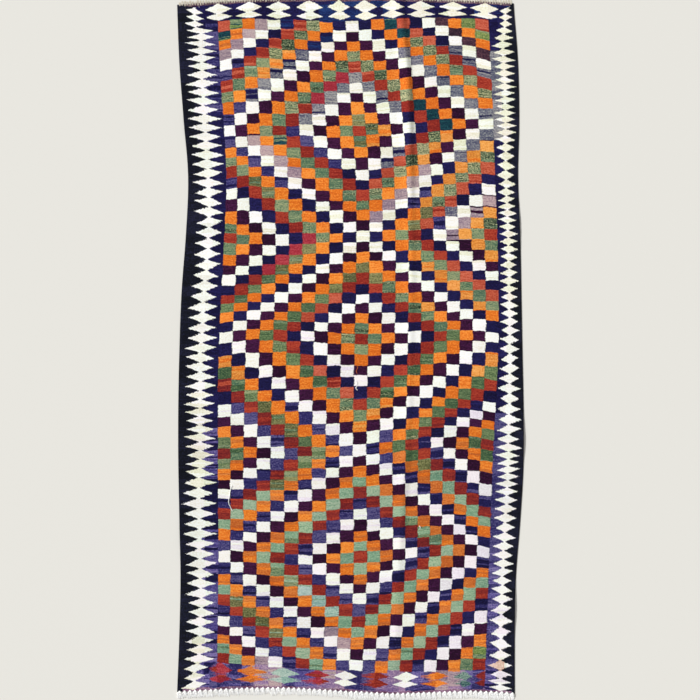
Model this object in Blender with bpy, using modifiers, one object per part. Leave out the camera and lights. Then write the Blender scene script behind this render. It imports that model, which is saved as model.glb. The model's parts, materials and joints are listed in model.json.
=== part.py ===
# Flat-woven wool kilim rug, laid out on the floor.
# Metres, +Z up. +X runs across the rug and +Y towards its upper end.
# The origin is on the floor under the middle of the rug.
import math
import random

import bmesh
import bpy
from mathutils import Matrix, Vector

MM = 0.001

# The woven cloth
CLOTH_THICKNESS = 3 * MM
ROW_COUNT = 64
PARTING = 0.3 * MM  # between the cloth and the knots and loops at its ends

# Selvedges: place along the rug, and where the left and right edges lie there, in mm
SELVEDGE_COLUMNS = ("along", "left", "right")
SELVEDGES = (
    (1585, -790, 745),
    (1325, -780, 765),
    (1060, -760, 770),
    (800, -740, 765),
    (540, -750, 775),
    (275, -770, 780),
    (0, -780, 785),
    (-250, -785, 790),
    (-510, -785, 790),
    (-775, -780, 775),
    (-1035, -775, 755),
    (-1300, -780, 750),
    (-1560, -790, 750),
)

# Ends: place across the rug, and where the lower and upper edges lie there, in mm
END_COLUMNS = ("across", "lower", "upper")
ENDS = (
    (-790, -1570, 1565),
    (-610, -1560, 1578),
    (-400, -1552, 1588),
    (-230, -1555, 1595),
    (25, -1570, 1598),
    (230, -1578, 1595),
    (430, -1570, 1586),
    (610, -1568, 1580),
    (790, -1580, 1568),
)

# The one long soft fold: place along the rug, place of its crest and its height, in mm
FOLD_COLUMNS = ("along", "crest", "height")
FOLD = (
    (1600, 225, 4.0),
    (1450, 240, 7.5),
    (1250, 260, 9.0),
    (1050, 268, 9.0),
    (700, 275, 6.5),
    (350, 280, 5.0),
    (-50, 270, 4.5),
    (-300, 264, 4.5),
    (-600, 247, 4.0),
    (-950, 226, 3.0),
    (-1300, 210, 2.5),
    (-1580, 200, 1.5),
)
FOLD_LEFT, FOLD_RIGHT = 46 * MM, 24 * MM  # it rises slowly and drops steeply

# Shallow waves where a slack selvedge stands off the floor:
# place along the rug in mm, side (-1 left, 1 right) and height in mm
COCKLES = (
    (1010, -1, 4.0),
    (560, 1, 3.0),
    (110, -1, 3.0),
    (-400, 1, 4.0),
    (-870, -1, 3.5),
    (-1190, 1, 3.5),
)
COCKLE_HALF_LENGTH = 140 * MM
COCKLE_REACH = 95 * MM

# Lines of points across the cloth: beside each selvedge, over the fold, and evenly between
SELVEDGE_OFFSETS = (0.0, 30 * MM, 62 * MM, COCKLE_REACH)
FOLD_OFFSETS = tuple(FOLD_LEFT * share for share in (-1, -0.6, -0.28)) + tuple(
    FOLD_RIGHT * share for share in (0, 0.35, 0.65, 1)
)
LINES_LEFT_OF_FOLD = 7
LINES_RIGHT_OF_FOLD = 3

# Knotted warp ends at the lower end
KNOT_COUNT = 65
KNOT_WIDTH = 20 * MM
KNOT_DEPTH = 17 * MM
KNOT_HEIGHT = 6 * MM
KNOT_CROWN = 0.62  # width of a knot's top face against its foot
KNOT_INSET = 1 * MM  # from the strip's edge beside the cloth to the knot
KNOT_STRIP_DEPTH = 8 * MM
KNOT_STRIP_HEIGHT = 4 * MM
TAIL_LENGTH = 19 * MM
TAIL_WIDTH = 13 * MM
TAIL_HEIGHT = 4.2 * MM
TAIL_TIP = 0.60  # width of a tail's tip against its root

# Short warp loops at the upper end
LOOP_COUNT = 128
LOOP_LENGTH = 13 * MM
LOOP_WIDTH = 6.4 * MM
LOOP_HEIGHT = 3 * MM
LOOP_TIP = 0.72
LOOP_STRIP_DEPTH = 6 * MM
LOOP_STRIP_HEIGHT = 3.4 * MM

END_MARGIN = 12 * MM  # from a corner of the cloth to the first knot or loop

# Hand-made unevenness: the least share of full size, and the most turn in radians
LEAST_KNOT = 0.92
LEAST_TAIL = 0.65
LEAST_LOOP = 0.75
KNOT_TURN = 0.20
TAIL_SPLAY = 0.15
LOOP_SPLAY = 0.10
UNEVEN = random.Random(11)


# Colours as linear red, green and blue
MADDER_RED = (0.43, 0.05, 0.035)
UNDYED_COTTON = (0.86, 0.84, 0.76)
WOOL_ROUGHNESS = 0.9
COTTON_ROUGHNESS = 0.95


# Reading the tables

def smooth_value(table, names, wanted, at):
    """Value of one column, in metres, on a smooth curve through the table's rows."""
    first, column = 0, names.index(wanted)
    rows = sorted(table, key=lambda row: row[first])
    places = [row[first] * MM for row in rows]
    values = [row[column] * MM for row in rows]
    at = min(max(at, places[0]), places[-1])
    k = max(i for i in range(len(rows) - 1) if places[i] <= at)
    span = places[k + 1] - places[k]
    t = (at - places[k]) / span
    start, end = slope(places, values, k) * span, slope(places, values, k + 1) * span
    return (
        (2 * t**3 - 3 * t**2 + 1) * values[k]
        + (t**3 - 2 * t**2 + t) * start
        + (3 * t**2 - 2 * t**3) * values[k + 1]
        + (t**3 - t**2) * end
    )


def slope(places, values, k):
    """Slope of the curve at one row, from the rows beside it."""
    before, after = max(k - 1, 0), min(k + 1, len(places) - 1)
    return (values[after] - values[before]) / (places[after] - places[before])


def selvedge(side, along):
    return smooth_value(SELVEDGES, SELVEDGE_COLUMNS, side, along)


def end_edge(end, across):
    return smooth_value(ENDS, END_COLUMNS, end, across)


# The cloth

def lines_across(along):
    """Where the lines of points cross the rug at one place along it."""
    left, right = selvedge("left", along), selvedge("right", along)
    crest = smooth_value(FOLD, FOLD_COLUMNS, "crest", along)
    lines = [left + offset for offset in SELVEDGE_OFFSETS]
    lines += between(lines[-1], crest + FOLD_OFFSETS[0], LINES_LEFT_OF_FOLD)
    lines += [crest + offset for offset in FOLD_OFFSETS]
    lines += between(lines[-1], right - SELVEDGE_OFFSETS[-1], LINES_RIGHT_OF_FOLD)
    lines += [right - offset for offset in reversed(SELVEDGE_OFFSETS)]
    return lines


def between(start, end, count):
    """Evenly spaced places between two others, without those two."""
    return [start + (end - start) * (k + 1) / (count + 1) for k in range(count)]


def swell(distance, reach):
    """A soft hump: 1 in the middle, falling smoothly to 0 at its reach."""
    share = min(abs(distance) / reach, 1.0)
    return 0.5 + 0.5 * math.cos(math.pi * share)


def lift(x, y):
    """How far the cloth's underside stands off the floor."""
    crest = smooth_value(FOLD, FOLD_COLUMNS, "crest", y)
    reach = FOLD_LEFT if x < crest else FOLD_RIGHT
    height = smooth_value(FOLD, FOLD_COLUMNS, "height", y) * swell(x - crest, reach)
    for along, side, top in COCKLES:
        edge = selvedge("left" if side < 0 else "right", y)
        spread = swell(y - along * MM, COCKLE_HALF_LENGTH)
        height += top * MM * spread * swell(x - edge, COCKLE_REACH)
    return height


def cloth_point(column, share):
    """A point of the underside: a line across, and a share of the way to the upper end."""
    nominal = end_edge("lower", 0.0) * (1 - share) + end_edge("upper", 0.0) * share
    x = lines_across(nominal)[column]
    y = end_edge("lower", x) * (1 - share) + end_edge("upper", x) * share
    return Vector((x, y, lift(x, y)))


def make_cloth(collection, wool):
    column_count = len(lines_across(0.0)) - 1
    grid = bmesh.new()
    bmesh.ops.create_grid(grid, x_segments=column_count, y_segments=ROW_COUNT, size=0.5)
    for vert in grid.verts:
        column = round((vert.co.x + 0.5) * column_count)
        vert.co = cloth_point(column, vert.co.y + 0.5)
    cloth = object_from(grid, "woven_cloth", collection)
    thickness = cloth.modifiers.new("thickness", "SOLIDIFY")
    thickness.thickness = CLOTH_THICKNESS
    thickness.offset = 1.0
    finish(cloth, wool)


# The end finishes

def edge_points(end):
    """The cloth's edge at one end, at every line of points across it."""
    share = 0.0 if end == "lower" else 1.0
    return [cloth_point(column, share) for column in range(len(lines_across(0.0)))]


def edge_place(end, share):
    """A place on that edge, a share of the way from its first knot to its last."""
    points = edge_points(end)
    first, last = points[0].x + END_MARGIN, points[-1].x - END_MARGIN
    x = first + (last - first) * share
    for start, stop in zip(points, points[1:]):
        if x <= stop.x:
            return x, start.y + (stop.y - start.y) * (x - start.x) / (stop.x - start.x)
    return x, points[-1].y


def make_strip(name, end, depth, height, collection):
    """The narrow root strip along one end, parted from the cloth's edge."""
    out = -1 if end == "lower" else 1
    edge = edge_points(end)
    inner = [(p.x, p.y + out * PARTING) for p in edge]
    outer = [(x, y + out * depth) for x, y in reversed(inner)]
    outline = bpy.data.curves.new(name, "CURVE")
    outline.dimensions = "2D"
    outline.fill_mode = "BOTH"
    outline.extrude = height / 2
    spline = outline.splines.new("POLY")
    spline.points.add(len(inner) + len(outer) - 1)
    for point, (x, y) in zip(spline.points, inner + outer):
        point.co = (x, y, 0, 1)
    spline.use_cyclic_u = True
    strip = bpy.data.objects.new(name, outline)
    strip.location.z = height / 2
    collection.objects.link(strip)
    return mesh_in_place_of(strip, collection)


def mesh_in_place_of(curve, collection):
    """The curve's solid as a mesh object of the same name, with its caps welded."""
    bpy.context.view_layer.update()
    evaluated = curve.evaluated_get(bpy.context.evaluated_depsgraph_get())
    body = bmesh.new()
    body.from_mesh(bpy.data.meshes.new_from_object(evaluated))
    bmesh.ops.remove_doubles(body, verts=body.verts, dist=0.01 * MM)
    bmesh.ops.recalc_face_normals(body, faces=body.faces)
    bmesh.ops.transform(body, matrix=curve.matrix_world, verts=body.verts)
    name = curve.name
    bpy.data.objects.remove(curve)
    return object_from(body, name, collection)


def add_knot(body, x, y):
    """A six-sided knot, flat where it rests and narrower at its crown."""
    foot = KNOT_WIDTH / 2 * UNEVEN.uniform(LEAST_KNOT, 1.0)
    shape = Matrix.Diagonal((1, KNOT_DEPTH / KNOT_WIDTH, 1, 1))
    turn = Matrix.Rotation(UNEVEN.uniform(-KNOT_TURN, KNOT_TURN), 4, "Z")
    place = Matrix.Translation((x, y, KNOT_HEIGHT / 2))
    bmesh.ops.create_cone(
        body, cap_ends=True, segments=6, radius1=foot, radius2=foot * KNOT_CROWN,
        depth=KNOT_HEIGHT, matrix=place @ turn @ shape,
    )


def add_strand(body, root, heading, size, tip):
    """A four-sided tapered strand that lies level on the floor from its root."""
    width, length, height = size
    strand = bmesh.ops.create_cube(body, size=1.0)["verts"]
    for vert in strand:
        narrow = tip if vert.co.y > 0 else 1.0
        lower = (1.0 + narrow) / 2
        vert.co = Vector((
            vert.co.x * width * narrow,
            (vert.co.y + 0.5) * length,
            (vert.co.z + 0.5) * height * lower,
        ))
    place = Matrix.Translation((*root, 0)) @ Matrix.Rotation(heading, 4, "Z")
    bmesh.ops.transform(body, matrix=place, verts=strand)


def make_knotted_end(collection, helpers, cotton):
    strip = make_strip("warp_finish_lower", "lower", KNOT_STRIP_DEPTH, KNOT_STRIP_HEIGHT, collection)
    knots = bmesh.new()
    for k in range(KNOT_COUNT):
        x, edge = edge_place("lower", k / (KNOT_COUNT - 1))
        y = edge - PARTING - KNOT_INSET - KNOT_DEPTH / 2
        add_knot(knots, x, y)
        length = KNOT_DEPTH / 2 + TAIL_LENGTH * UNEVEN.uniform(LEAST_TAIL, 1.0)
        heading = math.pi + UNEVEN.uniform(-TAIL_SPLAY, TAIL_SPLAY)
        add_strand(knots, (x, y), heading, (TAIL_WIDTH, length, TAIL_HEIGHT), TAIL_TIP)
    unite(strip, object_from(knots, "lower_knots_to_join", helpers))
    finish(strip, cotton)


def make_looped_end(collection, helpers, cotton):
    strip = make_strip("warp_finish_upper", "upper", LOOP_STRIP_DEPTH, LOOP_STRIP_HEIGHT, collection)
    loops = bmesh.new()
    for k in range(LOOP_COUNT):
        x, edge = edge_place("upper", k / (LOOP_COUNT - 1))
        y = edge + PARTING + LOOP_STRIP_DEPTH / 2
        length = LOOP_STRIP_DEPTH / 2 + LOOP_LENGTH * UNEVEN.uniform(LEAST_LOOP, 1.0)
        heading = UNEVEN.uniform(-LOOP_SPLAY, LOOP_SPLAY)
        add_strand(loops, (x, y), heading, (LOOP_WIDTH, length, LOOP_HEIGHT), LOOP_TIP)
    unite(strip, object_from(loops, "upper_loops_to_join", helpers))
    finish(strip, cotton)


def unite(target, other):
    other.hide_render = True
    other.display_type = "WIRE"
    union = target.modifiers.new("union", "BOOLEAN")
    union.operation = "UNION"
    union.solver = "EXACT"
    union.use_self = True
    union.object = other


# Objects and materials

def object_from(body, name, collection):
    mesh = bpy.data.meshes.new(name)
    body.to_mesh(mesh)
    body.free()
    made = bpy.data.objects.new(name, mesh)
    collection.objects.link(made)
    return made


def finish(made, material):
    made.data.materials.clear()
    made.data.materials.append(material)


def fabric(name, colour, roughness):
    material = bpy.data.materials.new(name)
    material.use_nodes = True
    shader = material.node_tree.nodes["Principled BSDF"]
    shader.inputs["Base Color"].default_value = (*colour, 1.0)
    shader.inputs["Roughness"].default_value = roughness
    shader.inputs["Metallic"].default_value = 0.0
    return material


def new_collection(name):
    collection = bpy.data.collections.new(name)
    bpy.context.scene.collection.children.link(collection)
    return collection


def main():
    for old in list(bpy.data.objects):
        bpy.data.objects.remove(old)
    rug = new_collection("kilim_rug")
    helpers = new_collection("joining_shapes")
    cotton = fabric("undyed_cotton", UNDYED_COTTON, COTTON_ROUGHNESS)
    make_cloth(rug, fabric("dyed_wool", MADDER_RED, WOOL_ROUGHNESS))
    make_knotted_end(rug, helpers, cotton)
    make_looped_end(rug, helpers, cotton)


main()
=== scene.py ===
import json
import math
import random

import bpy
import numpy as np
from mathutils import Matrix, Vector, noise
from mathutils.bvhtree import BVHTree

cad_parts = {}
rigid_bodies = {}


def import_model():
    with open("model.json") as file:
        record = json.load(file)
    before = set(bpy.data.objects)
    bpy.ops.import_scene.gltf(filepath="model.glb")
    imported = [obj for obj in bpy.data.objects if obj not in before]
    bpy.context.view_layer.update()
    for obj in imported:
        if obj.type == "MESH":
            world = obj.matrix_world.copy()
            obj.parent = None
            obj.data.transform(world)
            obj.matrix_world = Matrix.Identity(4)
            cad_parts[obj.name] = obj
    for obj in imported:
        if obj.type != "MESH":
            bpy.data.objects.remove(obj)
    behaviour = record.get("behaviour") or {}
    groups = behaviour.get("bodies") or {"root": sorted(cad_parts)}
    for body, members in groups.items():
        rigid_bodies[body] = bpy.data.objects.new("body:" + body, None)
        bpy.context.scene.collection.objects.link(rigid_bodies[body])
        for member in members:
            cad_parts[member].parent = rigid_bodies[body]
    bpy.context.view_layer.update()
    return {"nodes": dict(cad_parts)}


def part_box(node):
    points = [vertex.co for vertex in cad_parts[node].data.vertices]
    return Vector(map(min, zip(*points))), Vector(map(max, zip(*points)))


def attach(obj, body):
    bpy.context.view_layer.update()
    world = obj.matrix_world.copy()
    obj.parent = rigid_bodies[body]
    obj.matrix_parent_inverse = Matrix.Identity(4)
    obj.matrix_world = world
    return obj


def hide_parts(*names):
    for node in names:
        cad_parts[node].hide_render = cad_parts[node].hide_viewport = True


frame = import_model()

# A flat-woven wool kilim, laid out on a pale floor and seen from straight above.
mm = 0.001
rayTop = 100 * mm  # rays straight down onto the rug start here
clothNode = frame["nodes"]["woven_cloth"]


def hexColour(value):
    channels = [int(value[i:i + 2], 16) / 255 for i in (0, 2, 4)]
    linear = [c / 12.92 if c <= 0.04045 else ((c + 0.055) / 1.055) ** 2.4 for c in channels]
    return (*linear, 1.0)


def addNode(tree, kind, *values, named=(), **settings):
    # values go to the sockets in use, in their order; a node stands for its first output in use, and a
    # kind such as ShaderNodeMath:ADD gives the operation too
    kind, _, operation = kind.partition(":")
    made = tree.nodes.new(kind)
    if operation:
        made.operation = operation
    for name, value in settings.items():
        setattr(made, name, value)
    sockets = [s for s in made.inputs if s.enabled]
    given = list(zip(sockets, values)) + [(made.inputs[name], value) for name, value in dict(named).items()]
    for socket, value in given:
        if isinstance(value, bpy.types.Node):
            value = next(s for s in value.outputs if s.enabled)
        if isinstance(value, bpy.types.NodeSocket):
            tree.links.new(value, socket)
        elif value is not None:
            socket.default_value = value
    return made


def newMaterial(name, finish):
    # the material, its shader and what adds a node to it; a kind in capitals is a Math node's operation
    material = bpy.data.materials.new(name)
    material.use_nodes = True
    tree = material.node_tree
    shader = tree.nodes["Principled BSDF"]
    for socket, value in finish.items():
        shader.inputs[socket].default_value = value

    def add(kind, *values, **settings):
        kind = "Math:" + kind if kind.isupper() else kind
        return addNode(tree, "ShaderNode" + kind, *values, **settings)

    return material, shader, add


def linkObject(name, data):
    made = bpy.data.objects.new(name, data)
    bpy.context.scene.collection.objects.link(made)
    return made


def plainMesh(source, name):
    # the evaluated shape as a mesh object of its own, at the origin
    bpy.context.view_layer.update()
    evaluated = source.evaluated_get(bpy.context.evaluated_depsgraph_get())
    mesh = bpy.data.meshes.new_from_object(evaluated)
    mesh.transform(source.matrix_world)
    bpy.data.objects.remove(source)
    return linkObject(name, mesh)


studio = {
    "height": 7.541,  # m above the floor, where the lens takes in 3.192 m of the rug's face
    "lens": 85,
    "sensor": 36,
    "aim": (-1.6 * mm, -9.8 * mm),
    "floorSize": 120,
    "floorColour": "E4E2DB",
    "floorFinish": {"Roughness": 0.8},
    "skyStrength": 0.38,
    "sunStrength": 3.9,
    "sunAngle": 12,  # degrees across, so shadows have soft edges
    "sunTurn": (0, -58, -24),
}


def setStudio():
    camera = linkObject("camera", bpy.data.cameras.new("camera"))
    camera.data.lens = studio["lens"]
    camera.data.sensor_width = studio["sensor"]
    camera.location = (*studio["aim"], studio["height"])
    bpy.context.scene.camera = camera

    bpy.ops.mesh.primitive_plane_add(size=studio["floorSize"])
    floor = bpy.context.object
    floor.name = "floor"  # pale matt paint, so that it shows nothing but soft shadows
    material, shader, _ = newMaterial("painted_studio_floor", studio["floorFinish"])
    shader.inputs["Base Color"].default_value = hexColour(studio["floorColour"])
    floor.data.materials.append(material)

    sun = linkObject("sun", bpy.data.lights.new("sun", "SUN"))
    sun.data.energy = studio["sunStrength"]
    sun.data.angle = math.radians(studio["sunAngle"])
    sun.rotation_euler = [math.radians(a) for a in studio["sunTurn"]]

    world = bpy.data.worlds.new("studio")
    world.use_nodes = True
    sky = world.node_tree.nodes["Background"].inputs
    sky["Color"].default_value = (1, 1, 1, 1)
    sky["Strength"].default_value = studio["skyStrength"]
    bpy.context.scene.world = world
    bpy.context.scene.view_settings.view_transform = "Standard"


cloth = {
    "flatSize": (1.54, 3.15),  # m
    "thickness": 3,  # mm
    "columns": 21,  # blocks across the field
    "rows": 61,  # blocks along it
    "cellsAcross": 7,  # faces to a block
    "cellsAlong": 4,
    "sideUnits": 3.0,  # the side borders run 0 to 3 outwards from the field
    "endUnits": 2.0,  # and the end borders 0 to 2
    # plain weave beside the field and at the selvedge: place along the rug, and its width there, in mm
    "plainInside": {"left": ((0, 5),), "right": ((-500, 11), (-350, 4), (1300, 4))},
    "plainOutside": {
        "left": (
            (-1500, 18), (-1170, 24), (-900, 8), (-640, 8), (-490, 30), (-350, 21), (200, 25),
            (330, 34), (470, 40), (610, 34), (740, 14), (1150, 14), (1290, 23), (1430, 32),
        ),
        "right": ((0, 10),),
    },
    "toothReach": (0.12, 2.62),  # the serrated band's tips, in side units
    "settling": 4,  # rounds, as places across and places along depend on each other
    "pucker": 0.6,  # mm, how far a block's middle swells between its slits
    "puckerEnds": 0.7,  # how much of that is gone at a block's upper and lower edges
    "blockLift": 0.3,  # mm, from block to block
    "blockSeed": 2.5,
    "ripple": 0.8,  # mm, long shallow waves that never press out
    # the waves to a metre across and along, their place in the noise and their share
    "waves": ((3.1, 8.5, 0.3, 1), (9.0, 21.0, 4.1, 0.5)),
    "cord": 0.6,  # mm, the thicker selvedge
    "cordFrom": 2.6,  # side units
    "edgeRound": 0.8,  # mm, taken off the edges above and below
    "edgeShape": (1, 0.75, 0),  # from full height to none, on the three outermost lines of points
    "sharpAngle": 60,  # degrees
    "facetBlend": 4,  # mm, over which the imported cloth's facets are softened
    # place along the rug in mm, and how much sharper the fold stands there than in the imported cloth
    "foldRise": (
        (-1600, 1), (-1300, 1.3), (-1000, 1.3), (-800, 1.6), (-500, 1.5), (-300, 1), (350, 1), (700, 1.1),
        (900, 1.4), (1050, 1.5), (1250, 1.4), (1450, 1.7), (1600, 1.5),
    ),
}
# how high the top face stands where the cloth lies flat
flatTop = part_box("woven_cloth")[0].z + cloth["thickness"] * mm
bakeMap = {"margin": 0.012, "rim": 0.004}  # shares of the map: round each face, and out to the rim
sideLines = (3.0, 2.93, 2.8, 2.62, 2.2, 1.8, 1.38, 0.96, 0.54, 0.12)
endLines = (2.0, 1.93, 1.82, 1.62, 1.42, 1.23, 1.03, 0.84, 0.64, 0.45, 0.25, 0.06)

# place along the rug, then where the field's columns 0, 5.25, 10.5, 15.75 and 21 lie across it, all in mm
fieldLines = (
    (1590, -610, -310, 0, 310, 625),
    (1200, -590, -288, 25, 325, 645),
    (800, -566, -270, 54, 353, 660),
    (400, -580, -264, 57, 368, 674),
    (0, -600, -275, 50, 366, 675),
    (-500, -604, -286, 42, 352, 650),
    (-1000, -602, -285, 46, 345, 632),
    (-1560, -610, -300, 20, 318, 612),
)
# middle of a block row, then its place along the rug at those columns, in mm
rowLines = (
    (0.5, 1465, 1475, 1467, 1482, 1470),
    (5.5, 1238, 1248, 1235, 1262, 1240),
    (10.5, 988, 991, 990, 1007, 1022),
    (15.5, 747, 753, 743, 765, 765),
    (20.5, 496, 496, 509, 517, 516),
    (25.5, 262, 271, 272, 279, 280),
    (30.5, 43, 55, 42, 50, 50),
    (35.5, -232, -216, -204, -200, -228),
    (40.5, -486, -479, -466, -434, -445),
    (45.5, -708, -722, -709, -690, -703),
    (50.5, -952, -961, -957, -930, -936),
    (55.5, -1198, -1204, -1197, -1187, -1168),
    (60.5, -1412, -1435, -1448, -1448, -1446),
)
# place along the rug in mm, and how many of the side border's diamonds lie above it
teeth = {
    "left": (
        (1535, 0), (1355, 6), (1125, 12), (880, 18), (620, 24), (330, 30), (45, 36), (-215, 42),
        (-410, 47), (-570, 51), (-710, 54), (-985, 60), (-1250, 66), (-1460, 71), (-1540, 73),
    ),
    "right": (
        (1538, 1), (1447, 4), (1315, 8), (1130, 14), (950, 20), (710, 26), (520, 32), (305, 38),
        (80, 44), (-185, 50), (-455, 56), (-655, 62), (-905, 68), (-1145, 74), (-1448, 80), (-1490, 81),
        (-1523, 82), (-1550, 83),
    ),
}
# in block rows: how near the field the diamonds' inner tips come, in side units, and how far they slant
# along the rug, in diamonds for each side unit; the band is narrower where it turns the corners
bandNear = {
    "left": ((-2, 1.12), (0.5, 0.95), (1.0, 0.12), (60.9, 0.12), (61.4, 0.7), (63, 0.75)),
    "right": ((-1.55, 2.4), (-1.35, 1.2), (0.2, 1.05), (0.9, 0.72), (1.5, 0.38), (2.2, 0.12), (63, 0.12)),
}
bandSlant = {
    "left": ((-2, -0.4), (0.4, -0.2), (1.5, 0), (60.4, 0), (61.5, 0.2), (63, 0.36)),
    "right": ((-2, 0), (60.4, 0), (61.4, 0.12), (63, 0.15)),
}
# where the end borders' motifs stand, in block columns, with one more past each corner
motifs = {
    "upper": (-2.4, 0.1, 2.6, 4.9, 7.3, 9.6, 11.6, 13.7, 15.9, 18.4, 20.8, 24.3),
    "lower": (-1.9, 0.3, 2.75, 5.2, 7.65, 9.7, 12.1, 14.5, 17.0, 19.35, 20.9, 23.0),
}


def smooth(places, values, at):
    # a smooth curve through the values; places run upwards
    places, values, at = (np.asarray(x, float) for x in (places, values, at))
    slopes = np.gradient(values, places)
    k = np.clip(np.searchsorted(places, at) - 1, 0, len(places) - 2)
    span = places[k + 1] - places[k]
    t = (at - places[k]) / span
    inside = np.clip(t, 0, 1)
    curve = (
        (2 * inside**3 - 3 * inside**2 + 1) * values[k]
        + (inside**3 - 2 * inside**2 + inside) * span * slopes[k]
        + (3 * inside**2 - 2 * inside**3) * values[k + 1]
        + (inside**3 - inside**2) * span * slopes[k + 1]
    )
    return curve + (t - inside) * span * np.where(t > 1, slopes[k + 1], slopes[k])


def evenCurve(values, share):
    # a smooth curve through evenly spaced values, from the first at 0 to the last at 1
    at = np.linspace(0, 1, len(values))
    total = 0
    for k, value in enumerate(values):
        weight = 1
        for other in np.delete(at, k):
            weight = weight * (share - other) / (at[k] - other)
        total = total + value * weight
    return total


def clothOutline():
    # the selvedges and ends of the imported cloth, read from its rim faces
    mesh = clothNode.data
    edges = {"left": set(), "right": set(), "lower": set(), "upper": set()}
    for face in mesh.polygons:
        if abs(face.normal.z) > 0.5:
            continue
        sideways = abs(face.normal.x) > abs(face.normal.y)
        value = face.normal.x if sideways else face.normal.y
        names = ("left", "right") if sideways else ("lower", "upper")
        edges[names[value > 0]].update(face.vertices)
    for name, members in edges.items():
        along = 1 if name in ("left", "right") else 0
        points = sorted((mesh.vertices[i].co[along], mesh.vertices[i].co[1 - along]) for i in members)
        edges[name] = tuple(np.array(column) for column in zip(*points))
    return edges


outline = clothOutline()


def edgeAt(name, at):
    return np.interp(at, *outline[name])


def loomLines():
    # the lines of points, in block columns across and block rows along
    side, end = np.array(sideLines), np.array(endLines)
    field = np.arange(cloth["columns"] * cloth["cellsAcross"] + 1) / cloth["cellsAcross"]
    rows = np.arange(cloth["rows"] * cloth["cellsAlong"] + 1) / cloth["cellsAlong"]
    return (
        np.concatenate([-side, field, cloth["columns"] + side[::-1]]),
        np.concatenate([-end, rows, cloth["rows"] + end[::-1]]),
    )


def placeAcross(u, y):
    # where block column u lies, at places y along the rug
    along, *places = np.array(fieldLines[::-1], float).T * mm
    lines = [smooth(along, place, y) for place in places]
    x = evenCurve(lines, np.clip(u / cloth["columns"], 0, 1))
    sides = (("left", lines[0], -u, -1), ("right", lines[-1], u - cloth["columns"], 1))
    for name, inner, beyond, sign in sides:
        width = np.abs(edgeAt(name, y) - inner)
        inside, outside = (
            np.interp(y / mm, *zip(*cloth[key][name])) * mm for key in ("plainInside", "plainOutside")
        )
        near, far = cloth["toothReach"]
        reach = np.select(
            [beyond < near, beyond < far],
            [inside * beyond / near, inside + (width - inside - outside) * (beyond - near) / (far - near)],
            width - outside + outside * (beyond - far) / (cloth["sideUnits"] - far),
        )
        x = np.where(beyond > 0, inner + sign * reach, x)
    return x


def placeAlong(u, v, x):
    # where block row v lies, at places x across the rug
    row, *places = np.array(rowLines, float).T
    inField = np.clip(v, 0, cloth["rows"])
    lines = [smooth(row, place * mm, inField) for place in places]
    y = evenCurve(lines, np.clip(u / cloth["columns"], 0, 1))
    for name, beyond in (("upper", -v), ("lower", v - cloth["rows"])):
        y = np.where(beyond > 0, y + (edgeAt(name, x) - y) * beyond / cloth["endUnits"], y)
    return y


def pastField(at, count):
    # how far a place, in blocks, lies past the nearer edge of the field; inside it this is below 0
    return np.abs(at - count / 2) - count / 2


def heightAt(tree, x, y):
    # how high a surface stands at a place, or None beside it
    hit = tree.ray_cast(Vector((x, y, rayTop)), Vector((0, 0, -1)))[0]
    return None if hit is None else hit.z


def floorLift(x, y):
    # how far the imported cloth's top face stands above its flat parts, softened across its facets
    tree = BVHTree.FromObject(clothNode, bpy.context.evaluated_depsgraph_get())
    reach = cloth["facetBlend"] * mm
    heights = np.zeros(x.size)
    for k, (px, py) in enumerate(zip(x.ravel(), y.ravel())):
        found = [heightAt(tree, px + step, py) for step in (-reach, 0, reach)]
        found = [height for height in found if height is not None]
        heights[k] = sum(found) / len(found) - flatTop if found else 0.0
    along, rise = zip(*cloth["foldRise"])
    return np.maximum(heights, 0).reshape(x.shape) * np.interp(y / mm, along, rise)


def relief(u, v, x, y):
    # low relief of the weave's top face, in metres
    inField = (u > 0) & (u < cloth["columns"]) & (v > 0) & (v < cloth["rows"])
    fu, fv = (u % 1) * 2 - 1, (v % 1) * 2 - 1
    swell = cloth["pucker"] * (1 - fu**4) * (1 - cloth["puckerEnds"] * fv**4) * inField
    waves = np.zeros(u.size)
    blocks = np.zeros(u.size)
    flat = zip(x.ravel(), y.ravel(), np.floor(u).ravel(), np.floor(v).ravel())
    for k, (px, py, column, row) in enumerate(flat):
        for wide, long, seed, share in cloth["waves"]:
            waves[k] += share * noise.noise((px * wide, py * long, seed))
        blocks[k] = noise.cell((column + 0.5, row + 0.5, cloth["blockSeed"]))
    height = swell + cloth["ripple"] * waves.reshape(u.shape)
    height += cloth["blockLift"] * (blocks.reshape(u.shape) - 0.5) * (1 - fu**4) * (1 - fv**4) * inField
    cordLines = (cloth["cordFrom"], *sideLines[2::-1])
    height += cloth["cord"] * np.interp(pastField(u, cloth["columns"]), cordLines, (0, 1, 1, 0))
    return height * mm


def edgeFalloff(u, v):
    # 1 inside the cloth, 0 on the rim, so the edges are rounded
    side = np.interp(pastField(u, cloth["columns"]), sideLines[2::-1], cloth["edgeShape"])
    end = np.interp(pastField(v, cloth["rows"]), endLines[2::-1], cloth["edgeShape"])
    return np.minimum(side, end)


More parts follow.
